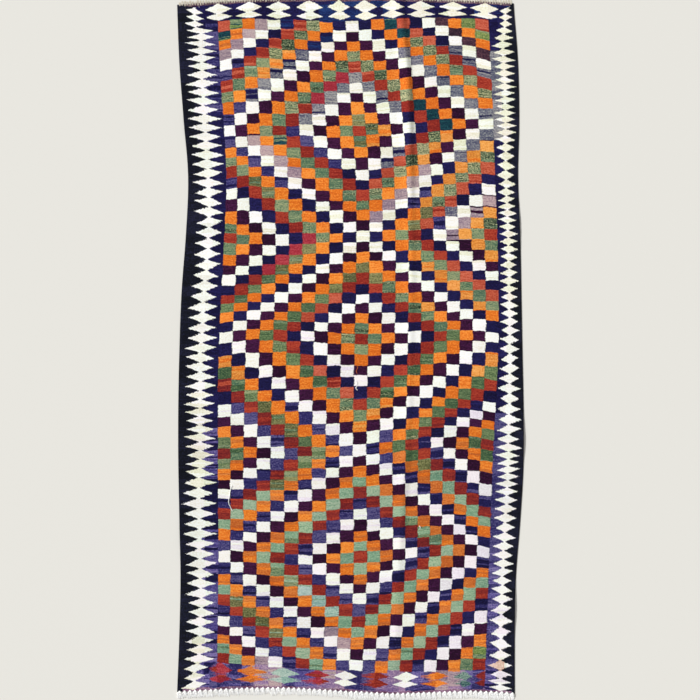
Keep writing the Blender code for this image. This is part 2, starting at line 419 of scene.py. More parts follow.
def makeCloth():
    uLines, vLines = loomLines()
    u, v = np.meshgrid(uLines, vLines)
    y = placeAlong(u, v, np.zeros(u.shape))
    for _ in range(cloth["settling"]):
        x = placeAcross(u, y)
        y = placeAlong(u, v, x)
    lift = floorLift(x, y)
    inner = edgeFalloff(u, v)
    rounding = cloth["edgeRound"] * mm * (1 - inner)
    top = lift + flatTop + relief(u, v, x, y) * inner - rounding
    under = lift + rounding
    rows, columns = u.shape
    count = rows * columns
    points = np.concatenate([np.stack([x, y, z], -1).reshape(-1, 3) for z in (top, under)])
    first = (np.arange(rows - 1)[:, None] * columns + np.arange(columns - 1)).ravel()
    upper = np.stack([first, first + columns, first + columns + 1, first + 1], 1)  # rows run down the rug
    lower = upper[:, ::-1] + count
    rim = np.concatenate([
        np.arange(columns),
        np.arange(1, rows) * columns + columns - 1,
        (rows - 1) * columns + np.arange(columns - 2, -1, -1),
        np.arange(rows - 2, 0, -1) * columns,
    ])
    onward = np.roll(rim, -1)
    walls = np.stack([rim, onward, onward + count, rim + count], 1)
    mesh = bpy.data.meshes.new("kilim_cloth")
    mesh.from_pydata(points.tolist(), [], np.concatenate([upper, lower, walls]).tolist())
    mesh.validate()
    made = linkObject("kilim_cloth", mesh)
    mesh.shade_smooth()
    mesh.set_sharp_from_angle(angle=math.radians(cloth["sharpAngle"]))
    addLoomMaps(mesh, u, v, x, y)
    return made


def addLoomMaps(mesh, u, v, x, y):
    # the loom map counts blocks; the bake map lays the two faces of the cloth side by side
    corners = np.zeros(len(mesh.loops), int)
    mesh.loops.foreach_get("vertex_index", corners)
    flat = corners % u.size
    starts = np.zeros(len(mesh.polygons), int)
    mesh.polygons.foreach_get("loop_start", starts)
    face = np.searchsorted(starts, np.arange(len(corners)), side="right") - 1
    isUnder = (corners[starts] >= u.size)[face]
    isRim = (face >= len(starts) - 2 * (u.shape[0] + u.shape[1] - 2)) & (corners >= u.size)
    baked = []
    for place, size in ((x, 0.5), (y, 1)):
        share = np.interp(place, (place.min(), place.max()), (0, 1)).ravel()[flat]
        inset = bakeMap["margin"] + (size - 2 * bakeMap["margin"]) * share
        baked.append(inset + bakeMap["rim"] * isRim * np.sign(share - 0.5))
    baked[0] += 0.5 * isUnder
    for name, pair in (("loom", (u.ravel()[flat], v.ravel()[flat])), ("OFBake", baked)):
        layer = mesh.uv_layers.new(name=name)
        layer.uv.foreach_set("vector", np.stack(pair, 1).astype(np.float32).ravel())

    # what the border patterns count: motifs along the end, diamonds along the side, the band's inner tips
    isLeft, isUpper = u < cloth["columns"] / 2, v < cloth["rows"] / 2
    beside = pastField(u, cloth["columns"])
    sides = []
    for name in ("left", "right"):
        along, count = np.array(teeth[name][::-1], float).T
        near, slant = (np.interp(v, *zip(*table[name])) for table in (bandNear, bandSlant))
        middle = (near + cloth["toothReach"][1]) / 2
        sides.append((smooth(along * mm, count, y) + slant * (middle - beside), near))
    toothCount, near = (np.where(isLeft, left, right) for left, right in zip(*sides))
    counts = [smooth(motifs[name], np.arange(-1, len(motifs[name]) - 1), u) for name in ("upper", "lower")]
    motifCount = np.where(isUpper, *counts)

    # what the threads count: warps from the left selvedge and wefts from the lower end
    left, right = edgeAt("left", y), edgeAt("right", y)
    lower, upper = edgeAt("lower", x), edgeAt("upper", x)
    warps = (x - left) / (right - left) * cloth["flatSize"][0] / (weave["warpPitch"] * mm)
    wefts = (y - lower) / (upper - lower) * cloth["flatSize"][1] / (weave["beadLength"] * mm)
    for name, counted in (("borders", (motifCount, toothCount, near)), ("threads", (warps, wefts, 0 * x))):
        perPoint = np.stack(counted, -1).reshape(-1, 3)
        attribute = mesh.attributes.new(name, "FLOAT_VECTOR", "POINT")
        attribute.data.foreach_set("vector", np.concatenate([perPoint] * 2).astype(np.float32).ravel())

    # where each dye lot was used, block by block
    middleU, middleV = (p.ravel()[flat].reshape(-1, 4).mean(1) for p in (u, v))
    column = np.clip(np.floor(middleU).astype(int) + 1, -2, cloth["columns"] + 3) + 2
    row = np.clip(np.floor(middleV).astype(int) + 1, -1, cloth["rows"] + 2) + 1
    for (was, becomes), boxes in dyeLots.items():
        share = np.zeros((cloth["rows"] + 4, cloth["columns"] + 6))
        for firstColumn, firstRow, lastColumn, lastRow, *amount in boxes:
            share[firstRow + 1:lastRow + 2, firstColumn + 2:lastColumn + 3] = (amount or [1])[0]
        lot = mesh.attributes.new(was + "_to_" + becomes, "FLOAT", "FACE")
        lot.data.foreach_set("value", share[row, column].astype(np.float32))


# dark, main and light shade of each yarn: close together in a solid dye, far apart in a marled one
yarns = {
    "white": "F1ECDC FCFCF4 FFFFFF",
    "orange": "D2601C EC7B24 F8A046",
    "brick": "7A1E1C 9A3024 B64A34",
    "sage": "40604C 6E8464 A0A87C",
    "navy": "0E0A2C 181440 26245C",
    "aubergine": "1E041D 300C2C 4A1C46",
    "mauve": "7C6A7C AA9098 C8B4B0",
    "teal": "0A2434 143E48 2C5E62",
    "mint": "62886E 8AAA8C B0C4A4",
    "pepper": "16261E 5C6E50 C0BE90",
    "heather": "3A3A58 70707E AAAAA4",
    "violet": "201A50 37336A 66608E",
    "coral": "A23A28 C0553C D27258",
    "crimson": "841E2C A42C3A BC4C54",
    "blush": "E8DCE4 F5EEF3 FFFBFE",
    "meadow": "3E5C34 6E8648 A6AC6C",
    "fig": "2A1A28 442A3A 6C4A50",
    "black": "0A0C14 12141F 20223A",
    "lavender": "3C326C 584E90 8A80B0",
    "lilac": "6A4E84 94769C BEA2B6",
    "cream": "E4DFC0 F2F0DA FBFAEC",
    "royal": "0E1A46 18295C 26407A",
    "plum": "603850 865E7C AC90A4",
    "rosy": "382634 583E4E 826874",
    "amber": "CC7430 E8943E F4B264",
    "peach": "D8AC98 F0D0BE F8E4D8",
    "oxblood": "641A20 842826 9E3A2C",
    "rust": "B65624 D0702E E48C48",
    "ice": "7E9E98 A0BCB0 C2D4C8",
    "lichen": "22404A 4E706A 94AE9E",
    "moss": "304A36 566C48 7E9266",
    "olive": "444A2C 74724A 9C9A66",
}
yarnNumber = {name: float(k) for k, name in enumerate(yarns)}
# yarns of the stepped diamonds, from a medallion's middle out to the middle of the next one at the side
rings = (
    "brick", "sage", "orange", "aubergine", "white", "navy",
    "brick", "sage", "orange", "aubergine", "white", "navy",
    "orange", "sage", "brick", "navy", "white", "aubergine", "orange", "sage", "brick",
)
lowerMotifs = ("brick", "orange", "ice", "brick", "white", "brick", "white", "orange", "lichen", "brick")
# another lot of a dye: the yarn it stands in for, its own yarn, and the blocks that have it: first column
# and row, last column and row, and the share of their wefts; blocks count from 1, border units follow on
dyeLots = {
    ("aubergine", "mauve"): (
        (1, 1, 4, 4), (3, 12, 6, 15), (12, 15, 16, 20), (18, 18, 21, 21, 0.85), (9, 58, 10, 59),
        (4, 61, 4, 61, 0.6),
    ),
    ("aubergine", "fig"): ((18, 1, 21, 4),),
    ("sage", "moss"): ((1, 23, 8, 40, 0.8), (13, 31, 21, 43, 0.8), (1, 41, 8, 46, 0.5)),
    ("sage", "pepper"): (
        (12, 1, 21, 20, 0.7), (5, 1, 11, 6, 0.6), (1, 7, 11, 20, 0.3), (8, 21, 15, 40, 0.3),
    ),
    ("sage", "teal"): (
        (14, 1, 15, 2), (16, 9, 18, 11), (1, 2, 1, 2, 0.7), (2, 1, 2, 1, 0.4), (5, 12, 6, 13, 0.4),
    ),
    ("sage", "meadow"): ((20, 1, 21, 2, 0.8), (21, 60, 21, 60, 0.6), (1, 1, 2, 2, 0.3)),
    ("sage", "mint"): (
        (9, 43, 21, 46, 0.9), (2, 45, 4, 46, 0.9), (1, 47, 21, 59), (1, 60, 15, 61, 0.8),
        (3, 1, 4, 14, 0.3), (15, 48, 17, 50, 0.3), (5, 52, 6, 54, 0.6), (6, 49, 6, 49, 0.3),
    ),
    ("sage", "ice"): ((7, 54, 9, 56, 0.8),),
    ("sage", "olive"): (
        (11, 10, 12, 12, 0.5), (3, 15, 4, 17, 0.6), (15, 19, 16, 20, 0.7), (4, 22, 7, 24, 0.8),
        (9, 24, 12, 26, 0.9), (4, 37, 6, 39, 0.7), (5, 43, 6, 44, 0.6), (16, 43, 16, 43),
        (2, 55, 5, 58, 0.8),
    ),
    ("navy", "heather"): (
        (13, 13, 15, 16, 0.7), (7, 4, 21, 8, 0.8), (7, 9, 14, 12, 0.8), (17, 9, 21, 12, 0.8),
        (3, 5, 6, 10, 0.6), (18, 18, 18, 19), (19, 13, 20, 14, 0.8), (22, 4, 24, 12, 0.9),
        (-2, 39, 0, 42, 0.4),
    ),
    ("navy", "violet"): (
        (1, 5, 2, 10, 0.7), (1, 11, 9, 16, 0.7), (15, 17, 17, 21, 0.5), (1, 37, 13, 61, 0.75),
        (14, 40, 21, 61, 0.35), (22, 38, 24, 61), (1, 62, 21, 63), (-2, 1, 0, 9, 0.6),
    ),
    ("navy", "lavender"): (
        (-2, 49, 0, 63, 0.6), (-2, 39, 0, 43, 0.6), (22, 50, 24, 63, 0.4), (1, 62, 5, 63, 0.5),
        (6, 62, 9, 63, 0.8), (16, 62, 21, 63, 0.4),
    ),
    ("brick", "coral"): (
        (1, 1, 12, 9, 0.4), (12, 13, 21, 20, 0.8), (15, 24, 21, 27), (1, 28, 5, 30), (7, 27, 10, 30),
        (1, 34, 2, 35), (7, 34, 10, 37, 0.8), (1, 1, 1, 1), (21, 1, 21, 1), (15, 1, 18, 3),
    ),
    ("brick", "crimson"): ((8, 6, 11, 9), (4, 21, 7, 24), (-2, 62, 3, 63, 0.8), (6, 62, 9, 63, 0.6)),
    ("brick", "oxblood"): (
        (1, 24, 3, 26, 0.7), (1, 32, 6, 50, 0.6), (7, 38, 14, 50, 0.6), (1, 51, 21, 61, 0.3),
        (15, 38, 21, 50, 0.6), (20, 62, 24, 63, 0.8),
    ),
    ("orange", "rust"): (
        (1, 40, 21, 50, 0.3), (1, 51, 21, 61, 0.5), (13, 42, 19, 58, 0.7), (4, 49, 6, 58, 0.6),
        (1, 1, 8, 6, 0.3), (3, 62, 6, 63, 0.5), (16, 62, 17, 63, 0.4),
    ),
    ("orange", "amber"): (
        (16, 12, 21, 28, 0.8), (4, 3, 6, 6, 0.5), (12, 11, 13, 13, 0.6), (1, 33, 2, 34, 0.6),
        (20, 33, 21, 34, 0.7), (10, 37, 13, 39, 0.5),
    ),
    ("white", "blush"): (
        (1, 31, 21, 61, 0.3), (18, 36, 20, 38), (17, 44, 21, 61, 0.8), (22, 56, 24, 58, 0.6),
        (22, 62, 24, 62),
    ),
    ("white", "peach"): ((22, 61, 23, 61, 0.8),),
    ("white", "cream"): (
        (10, -1, 21, 0, 0.7), (22, -1, 24, 27, 0.7), (-2, 59, 0, 63, 0.4), (-2, 36, 0, 44, 0.5),
        (4, 1, 21, 25, 0.4), (1, -1, 9, 0, 0.4),
    ),
    ("navy", "royal"): ((9, -1, 14, 0, 0.7), (21, -1, 24, 0, 0.5), (6, 1, 11, 3, 0.5)),
    ("lilac", "violet"): ((-2, 62, 1, 63),),
    ("lilac", "mauve"): ((3, 62, 6, 63, 0.6), (9, 62, 12, 63, 0.5), (17, 62, 19, 63, 0.7)),
}
weave = {
    "warpPitch": 2.75,  # mm between warps, which show as ribs along the rug
    "beadLength": 1.7,  # mm of a rib that one weft covers
    "ribHeight": 0.20,  # mm
    "beadHeight": 0.12,  # mm
    "tuftHeight": 0.05,  # mm
    "paintedBeadShade": 0.12,  # painted shade and light: how much darker the hollows between the beads are painted, and how much lighter their tops
    "waver": 2.0,  # beads, how far the wefts run off the level
    "blockWidth": 59.7,  # mm
    "blockLength": 48.6,  # mm
    "motifWidth": 138,  # mm, in the end borders
    "toothLength": 39,  # mm, in the side borders
    "wander": (0.22, 0.28),  # blocks, how far edges stray across and along
    "serration": (0.16, 0.12),
    "apart": 7.3,  # blocks, how far apart in the noise two columns are read
    "stepAlong": 0.50,  # blocks, neighbours are beaten down unevenly
    "neck": 0.07,  # a serrated diamond's neck against its width
    "taper": 1.25,  # over 1 draws its tips out
    "shortTip": 0.24,  # the most that a tip falls short, as a share
    "toothLean": 0.8,  # diamonds, how far its tips stray along the rug
    "leanSeed": 5.0,
    "toothRagged": 0.3,  # diamonds, how ragged its edges are
    "motifRagged": 0.12,  # motifs
    "motifUneven": 0.16,  # how much the end borders' motifs differ in width, as a share
    "hatching": 1.5,  # motifs, how far the wefts of the lower border run past each other
    "hatchPatches": (0.42, 0.62),  # the noise at which that starts, and is full
    "strip": (1.70, 1.80),  # end units, where the plain strips of the upper and lower end begin
    "stripReach": 2.5,  # side units, where they stop
    "bandEnd": (1.6, 1.9),  # end units, where the side bands' diamonds end
    "lotBands": (2.4, -0.7),  # spreads the noise that tells which wefts of a block are of the other lot
    "lotLimits": (0.02, 0.98),  # and cuts it off, so a share of 0 takes no weft and a share of 1 all
    "marlParts": (0.7, 1.7),  # how much the streaks and the flecks show
    "weftContrast": 1.3,
    "marlContrast": 3.6,
    "blockMarl": 1.1,  # how much paler or darker whole blocks of one dye are
    "blockTint": 0.07,
    "fading": 0.16,
    "paintedLowerShade": (28, 42, 0.08),  # painted shade: block rows from the upper end over which the lower half is painted a little darker, standing in for dimmer light there
    "slit": 0.45,  # ribs, at each side
    "slitOpen": (0.40, 0.55),  # the noise at which a slit starts to open, and is wide open
    # painted shade inside an open slit
    "slitShade": 0.55,
    "slitDepth": 0.9,  # mm
    "finish": {
        "Roughness": 0.95, "Specular IOR Level": 0.12, "Sheen Weight": 0.04, "Sheen Roughness": 0.5,
    },
}
# soft noise: features to a block across and along it, and their detail; the waver's are to a thread
clouds = {
    "waver": (0.025, 0.07, 1.0),
    "wander": (1, 1, 1.0),
    "ragged": (5, 10, 2.0),
    "beaten": (1, 0.45, 0.0),
    "lean": (1, 0.6, 1.0),
    "hatch": (0.4, 18, 2.0),
    "patches": (0.5, 0.9, 1.0),
    "lots": (1, 2.2, 1.0),
    "streaks": (0.9, 8.0, 2.0),  # runs of one shade of yarn
    "flecks": (9.0, 10.0, 2.0),  # tufts of undyed or darker wool
    "wefts": (3.0, 36.0, 0.0),  # one weft from the next
    "fading": (0.16, 0.22, 3.0),
    "slits": (1, 1.7, 0.0),
}
# half the width of an end border's motif, a pair of stacked diamonds, at so many end units from the field
motifShapes = {
    "upper": ((0.08, 0), (0.38, 0.44), (0.80, 0.08), (1.19, 0.44), (1.82, 0)),
    "lower": ((0.03, 0), (0.53, 0.43), (0.86, 0.08), (1.20, 0.43), (1.54, 0)),
}


def setStops(ramp, stops):
    # a new ramp has two stops, and the others are added
    made = ramp.color_ramp.elements
    for k, (place, colour) in enumerate(stops):
        stop = made[k] if k < 2 else made.new(place)
        stop.position = place
        stop.color = colour


def yarnRamp(add, at, shades):
    # constant steps, one for each entry of shades; at counts them from 0
    ramp = add("ValToRGB", add("MULTIPLY", add("ADD", at, 0.5), 1 / len(shades)))
    ramp.color_ramp.interpolation = "CONSTANT"
    setStops(ramp, [(k / len(shades), shade) for k, shade in enumerate(shades)])
    return ramp


def yarnsInTurn(add, at, names):
    # the yarn's place in the list of yarns, for each step
    scale = 1 / len(yarns)
    ramp = yarnRamp(add, at, [(yarnNumber[name] * scale,) * 3 + (1,) for name in names])
    return add("ROUND", add("MULTIPLY", ramp, len(yarns)))


def motifWidth(add, at, shape):
    # the straight-sided width that a motif's shape gives; both run over the end border's units
    units = cloth["endUnits"]
    ramp = add("ValToRGB", add("MULTIPLY", at, 1 / units))
    setStops(ramp, [(place / units, (width, width, width, 1)) for place, width in shape])
    return ramp


def woolMaterial():
    # Hand-spun wool, dyed and packed over hidden cotton warps: matt, ribbed along the rug, marled where
    # grey wool was dyed, with ragged turns where two colours meet and slits where they meet along a warp.
    material, shader, add = newMaterial("hand_dyed_wool_slit_tapestry", weave["finish"])

    def cloud(at, name):
        # soft noise from 0 to 1
        *scale, detail = clouds[name]
        at = add("Mapping", at, None, None, (*scale, 1))
        return add("TexNoise", at, named={"Scale": 1.0, "Detail": detail})

    def product(value, *others):
        for other in others:
            value = add("MULTIPLY", value, other)
        return value

    def within(value, least, most):
        return add("MINIMUM", add("MAXIMUM", value, least), most)

    def vary(value, cause, amount, mean=0.5):
        # the value, moved up and down as the cause lies above and below its mean
        return add("MULTIPLY_ADD", add("SUBTRACT", cause, mean), amount, value)

    def pastHalf(at, half):
        # how far a place lies past the nearer edge of the field; inside it this is below 0
        return add("SUBTRACT", add("ABSOLUTE", add("SUBTRACT", at, half)), half)

    # wefts lie over the warps as beads, stepped by half from rib to rib; each bead has one colour, so the
    # pattern is read at its middle
    threads = add("Attribute", attribute_name="threads").outputs["Vector"]
    counts = add("SeparateXYZ", threads)
    warp = counts.outputs["X"]
    weft = add("MULTIPLY_ADD", cloud(threads, "waver"), weave["waver"], counts.outputs["Y"])
    weft = add("MULTIPLY_ADD", add("FLOORED_MODULO", add("FLOOR", warp), 2.0), 0.5, weft)
    fromRib, fromBead = (add("SUBTRACT", add("FRACT", count), 0.5) for count in (warp, weft))
    toMiddle = add("CombineXYZ", fromRib, fromBead)
    toMiddle = add("VectorMath:MULTIPLY", toMiddle, (-weave["warpPitch"], weave["beadLength"], 0))
    ribShape, beadShape = (
        add("MULTIPLY_ADD", product(off, off), -4.0, 1.0) for off in (fromRib, fromBead)
    )
    loom = add(
        "VectorMath:MULTIPLY_ADD", toMiddle, (1 / weave["blockWidth"], 1 / weave["blockLength"], 0),
        add("UVMap", uv_map="loom"),
    )
    borders = add("SeparateXYZ", add(
        "VectorMath:MULTIPLY_ADD", toMiddle, (1 / weave["motifWidth"], 1 / weave["toothLength"], 0),
        add("Attribute", attribute_name="borders").outputs["Vector"],
    ))
    motifCount, toothCount, near = (borders.outputs[axis] for axis in "XYZ")

    # edges stray from the plain grid of blocks
    wander, ragged = cloud(loom, "wander"), cloud(loom, "ragged")
    strayed = loom
    for cause, reach in ((wander, weave["wander"]), (ragged, weave["serration"])):
        strayed = add("VectorMath:MULTIPLY_ADD", cause.outputs["Color"], (*reach, 0), strayed)
    centre = [-(a + b) / 2 for a, b in zip(weave["wander"], weave["serration"])]
    strayed = add("SeparateXYZ", add("VectorMath:ADD", strayed, (*centre, 0)))
    u, v = strayed.outputs["X"], strayed.outputs["Y"]
    column = add("FLOOR", u)
    eachColumn = product(column, weave["apart"])
    inColumn = add("CombineXYZ", eachColumn, v)
    stepped = vary(v, cloud(inColumn, "beaten"), weave["stepAlong"])
    row = add("FLOOR", stepped)
    half, halfRows = cloth["columns"] / 2, cloth["rows"] / 2
    beside, beyond, steppedBeyond = pastHalf(u, half), pastHalf(v, halfRows), pastHalf(stepped, halfRows)
    isLower = add("GREATER_THAN", v, halfRows)

    # field: rings of stepped diamonds round medallions that are as tall as the field is wide
    middle = float(cloth["columns"] // 2)
    fromMiddle = add("ABSOLUTE", add("SUBTRACT", column, middle))
    fromRow = add("PINGPONG", add("SUBTRACT", row, middle), middle)
    field = yarnsInTurn(add, add("ADD", fromMiddle, fromRow), rings)

    # side borders: a band of white diamonds in one column, between navy ground and black
    far = cloth["toothReach"][1]
    bandMiddle = add("MULTIPLY_ADD", near, 0.5, far / 2)
    bandHalf = add("SUBTRACT", far, bandMiddle)
    fromBand = add("SUBTRACT", beside, bandMiddle)
    lean = add("SUBTRACT", cloud(add("CombineXYZ", None, v, weave["leanSeed"]), "lean"), 0.5)
    tooth = add("MULTIPLY_ADD", product(lean, fromBand), weave["toothLean"], toothCount)
    tooth = vary(tooth, ragged, weave["toothRagged"])
    isOuter = add("GREATER_THAN", fromBand, 0.0)
    toTip = add("POWER", add("MULTIPLY_ADD", add("PINGPONG", tooth, 0.5), -2.0, 1.0), weave["taper"])
    eachTip = add("TexWhiteNoise", add("CombineXYZ", add("ROUND", tooth), isOuter, add("SIGN", column)))
    reach = add("MULTIPLY_ADD", eachTip, -weave["shortTip"], 1.0)
    width = add("MULTIPLY_ADD", product(toTip, reach), 1 - weave["neck"], weave["neck"])
    inDiamond = add("LESS_THAN", add("ABSOLUTE", fromBand), product(width, bandHalf))
    inDiamond = product(inDiamond, add("LESS_THAN", beyond, add("Mix", isLower, *weave["bandEnd"])))
    side = add("Mix", isOuter, yarnNumber["navy"], yarnNumber["black"])
    side = add("Mix", inDiamond, side, yarnNumber["white"])

    # end borders: pairs of stacked diamonds, whose wefts run into their ground here and there
    alike = 0.3  # yarn numbers this near are one yarn
    count = vary(motifCount, ragged, weave["motifRagged"])
    motif = yarnsInTurn(add, add("ROUND", count), lowerMotifs)
    isDyed = add("SUBTRACT", isLower, add("COMPARE", motif, yarnNumber["white"], alike))
    isPatch = add("MapRange", cloud(loom, "patches"), *weave["hatchPatches"])
    hatch = product(add("SUBTRACT", cloud(loom, "hatch"), 0.5), add("MAXIMUM", isDyed, 0.0), isPatch)
    count = add("MULTIPLY_ADD", hatch, weave["hatching"], count)
    width = add("Mix", isLower, *(motifWidth(add, beyond, shape) for shape in motifShapes.values()))
    eachMotif = add("TexWhiteNoise", add("CombineXYZ", add("ROUND", count), isLower))
    uneven = add("MULTIPLY_ADD", eachMotif, weave["motifUneven"], 1 - weave["motifUneven"] / 2)
    inMotif = add("LESS_THAN", add("PINGPONG", count, 0.5), product(width, uneven))
    isOdd = add("FLOORED_MODULO", add("FLOOR", count), 2.0)
    end = add("Mix", product(isOdd, isLower), yarnNumber["navy"], yarnNumber["lilac"])
    end = add("Mix", inMotif, end, add("Mix", isLower, yarnNumber["white"], motif))

    # which part of the cloth this is
    inEnd = add("GREATER_THAN", steppedBeyond, 0.0)
    inSide = add("GREATER_THAN", beside, product(inEnd, add("SUBTRACT", near, cloth["toothReach"][0])))
    isStrip = add("GREATER_THAN", add("ADD", beyond, hatch), add("Mix", isLower, *weave["strip"]))
    isPlain = add("SUBTRACT", 1.0, add("MAXIMUM", inMotif, product(inDiamond, inSide)))
    isStrip = product(isStrip, isPlain, add("LESS_THAN", beside, weave["stripReach"]))
    yarn = add("Mix", inSide, add("Mix", inEnd, field, end), side)
    planned = add("Mix", isStrip, yarn, add("Mix", isLower, yarnNumber["rosy"], yarnNumber["plum"]))

    # another dye lot takes the place of some or all of a block's wefts
    band = add("MULTIPLY_ADD", cloud(inColumn, "lots"), *weave["lotBands"])
    band = within(band, *weave["lotLimits"])
    yarn = planned
    for was, becomes in dyeLots:
        lot = add("Attribute", attribute_name=was + "_to_" + becomes).outputs["Fac"]
        fits = add("COMPARE", planned, yarnNumber[was], alike)
        yarn = add("Mix", product(add("GREATER_THAN", lot, band), fits), yarn, yarnNumber[becomes])

    # each yarn's three shades, mixed by runs along the weft and flecks of other wool
    plainLoom = add("SeparateXYZ", loom)
    plainColumn = add("CombineXYZ", plainLoom.outputs["X"], plainLoom.outputs["Y"], eachColumn)
    eachBlock = add("TexWhiteNoise", add("CombineXYZ", column, row))
    marl = 0.0
    for cause, part in (
        (cloud(plainColumn, "streaks"), weave["marlParts"][0] * weave["marlContrast"]),
        (cloud(loom, "flecks"), weave["marlParts"][1] * weave["marlContrast"]),
        (eachBlock, weave["blockMarl"]),
        (cloud(plainColumn, "wefts"), weave["weftContrast"]),
    ):
        marl = vary(marl, cause, part)
    dark, main, light = (
        yarnRamp(add, yarn, [hexColour(shades.split()[k]) for shades in yarns.values()]) for k in range(3)
    )
    paler = within(marl, 0.0, 1.0)
    darker = within(product(marl, -1.0), 0.0, 1.0)
    colour = add("Mix", paler, main, light, data_type="RGBA")
    colour = add("Mix", darker, colour, dark, data_type="RGBA")

    # blocks of one dye differ a little in tint, and the whole rug is unevenly faded
    tint, leastTint = [weave["blockTint"]] * 3, [1 - weave["blockTint"] / 2] * 3
    tint = add("VectorMath:MULTIPLY_ADD", eachBlock.outputs["Color"], tint, leastTint)
    colour = add("VectorMath:MULTIPLY", colour, tint)
    shade = vary(1.0, cloud(loom, "fading"), weave["fading"])
    # painted shade: the lower half of the rug is painted a little darker
    shadeFrom, shadeTo, shadeDepth = weave["paintedLowerShade"]
    shade = add("MULTIPLY_ADD", add("MapRange", v, shadeFrom, shadeTo), -shadeDepth, shade)

    # slits between blocks, open here and there, with painted shade inside the open ones
    oneRib, width = weave["warpPitch"] / weave["blockWidth"], weave["slit"]
    isFirst = add("LESS_THAN", add("FRACT", u), oneRib)
    isLast = add("GREATER_THAN", add("FRACT", u), 1 - oneRib)
    atLeft = product(isFirst, add("MapRange", fromRib, -0.5, width - 0.5, 1.0, 0.0))
    atRight = product(isLast, add("MapRange", fromRib, 0.5 - width, 0.5, 0.0, 1.0))
    eachSlit = cloud(add("CombineXYZ", product(add("ROUND", u), weave["apart"]), v), "slits")
    isOpen = add("MapRange", eachSlit, *weave["slitOpen"])
    inField = add("SUBTRACT", 1.0, add("MAXIMUM", add("GREATER_THAN", beside, 0.0), inEnd))
    slit = product(add("MAXIMUM", atLeft, atRight), isOpen, inField)
    shade = add("MULTIPLY_ADD", slit, -weave["slitShade"], shade)
    # painted shade in the hollows between the beads and painted light on their tops, even in the mean
    meanProud = (2 / 3)**2  # each of a bead's two shapes is 2 / 3 in the mean
    shade = vary(shade, product(ribShape, beadShape), weave["paintedBeadShade"], meanProud)
    toned = add("VectorMath:SCALE", colour, named={"Scale": shade})
    toned = add("VectorMath:MINIMUM", toned, (1, 1, 1))
    material.node_tree.links.new(toned.outputs[0], shader.inputs["Base Color"])

    # the beads stand proud, tufts of thicker yarn a little more, and the slits are sunk; heights are in mm
    height = product(beadShape, weave["beadHeight"])
    for cause, part in ((ribShape, "ribHeight"), (marl, "tuftHeight")):
        height = add("MULTIPLY_ADD", cause, weave[part], height)
    height = add("MULTIPLY_ADD", slit, -weave["slitDepth"], height)
    bump = add("Bump", named={"Strength": 1.0, "Distance": mm, "Height": height})
    material.node_tree.links.new(bump.outputs[0], shader.inputs["Normal"])
    return material


pliedYarn = {
    "scales": (90.0, 900.0),  # features to a metre: tones about a centimetre long, and 1 mm turns
    "tones": (0.36, 0.62),  # the noise at which the yarn is wholly its darker and its lighter shade
    "fuzzHeight": 0.4,  # mm
    "fuzzStrength": 0.6,
    "finish": {"Roughness": 0.95, "Specular IOR Level": 0.15},
}


def yarnMaterial(name, shades):
    # Hand-plied yarn, undyed cotton or dyed wool: matt and fuzzy, with its hollows a little darker.
    material, shader, add = newMaterial(name, pliedYarn["finish"])
    at = add("TexCoord").outputs["Object"]
    tone, fuzz = (
        add("TexNoise", at, named={"Scale": scale, "Detail": 2.0}) for scale in pliedYarn["scales"]
    )
    ramp = add("ValToRGB", tone)
    setStops(ramp, zip(pliedYarn["tones"], [hexColour(shade) for shade in shades]))
    material.node_tree.links.new(ramp.outputs["Color"], shader.inputs["Base Color"])
    height = pliedYarn["fuzzHeight"] * mm
    bump = add("Bump", named={"Strength": pliedYarn["fuzzStrength"], "Distance": height, "Height": fuzz})
    material.node_tree.links.new(bump.outputs[0], shader.inputs["Normal"])
    return material


# the finishes at the ends, in mm and radians; points are right, up the rug and up from the floor
knots = {
    "count": 65,
    "fromEdge": 5.5,  # from the cloth's edge down to a knot's middle
    "plies": 3,
    "plyRadius": 1.75,
    "plySpread": 1.5,  # from the middle of the twisted bundle to each ply
    "plyTurns": 2,
    "steps": 30,
    "lobe": 3.05,  # the knot's three lobes reach three times this
    "lift": 4.3,
    "rise": 1.3,
    "onCloth": 3.6,  # what the upper lobe rests on
    "climb": (6, 1),  # where it starts and ends its climb onto the cloth, before the edge
    "lean": 0.12,
    "tails": 14,
    "tailSteps": 7,
    "tailRoot": 12.0,  # half the width of the sheaf of tails at the knot, and at its end
    "tailSplay": 13.0,
    "sheafReach": (17, 26),
    "tailReach": (-4, 3),  # longer or shorter than the sheaf
    "tailStart": 1,
    "tailBends": (0.35, 0.7),  # where a tail bends, as shares of its reach
    "tailRise": (0.2, 1.4),  # how far it stands off the floor at its first bend
    "tailRadius": 1.8,
    "tailTip": 0.6,
    "tailStray": 1.5,
    "feeders": 8,
    "feederRoots": (12, 7.2),  # half the width of the warps at the cloth's edge and under the knot
    "feederEnd": (4, 2),  # how far past the knot's middle they end, and how high
    "feederRadius": 1.5,
    "turn": 0.16,
    "stray": 0.8,
    "leastSize": 0.9,
}
loops = {
    "count": 128,
    "fromEdge": -1.0,  # the rail is just inside the cloth's edge
    "legs": (1.5, 2.5),  # half the width of a loop
    "reach": (11, 17),
    "overlap": (4.5, 9.5),  # how far its legs lie on the cloth
    "onCloth": 4.5,
    "within": 1.8,
    "rise": 2.2,  # how soon a leg is up on the cloth
    "brink": 0.3,  # where it starts to fall, short of the rail, and how far it is down there
    "fall": (3, 0.9),  # past the rail, where it is nearly down, and how high it still is there
    "shoulder": (0.75, 0.8),  # the turn's width against the loop's, and how far it is rounded off
    "radius": 1.2,
    "turn": 0.13,
    "stray": 0.9,
    "leastSize": 0.85,
}


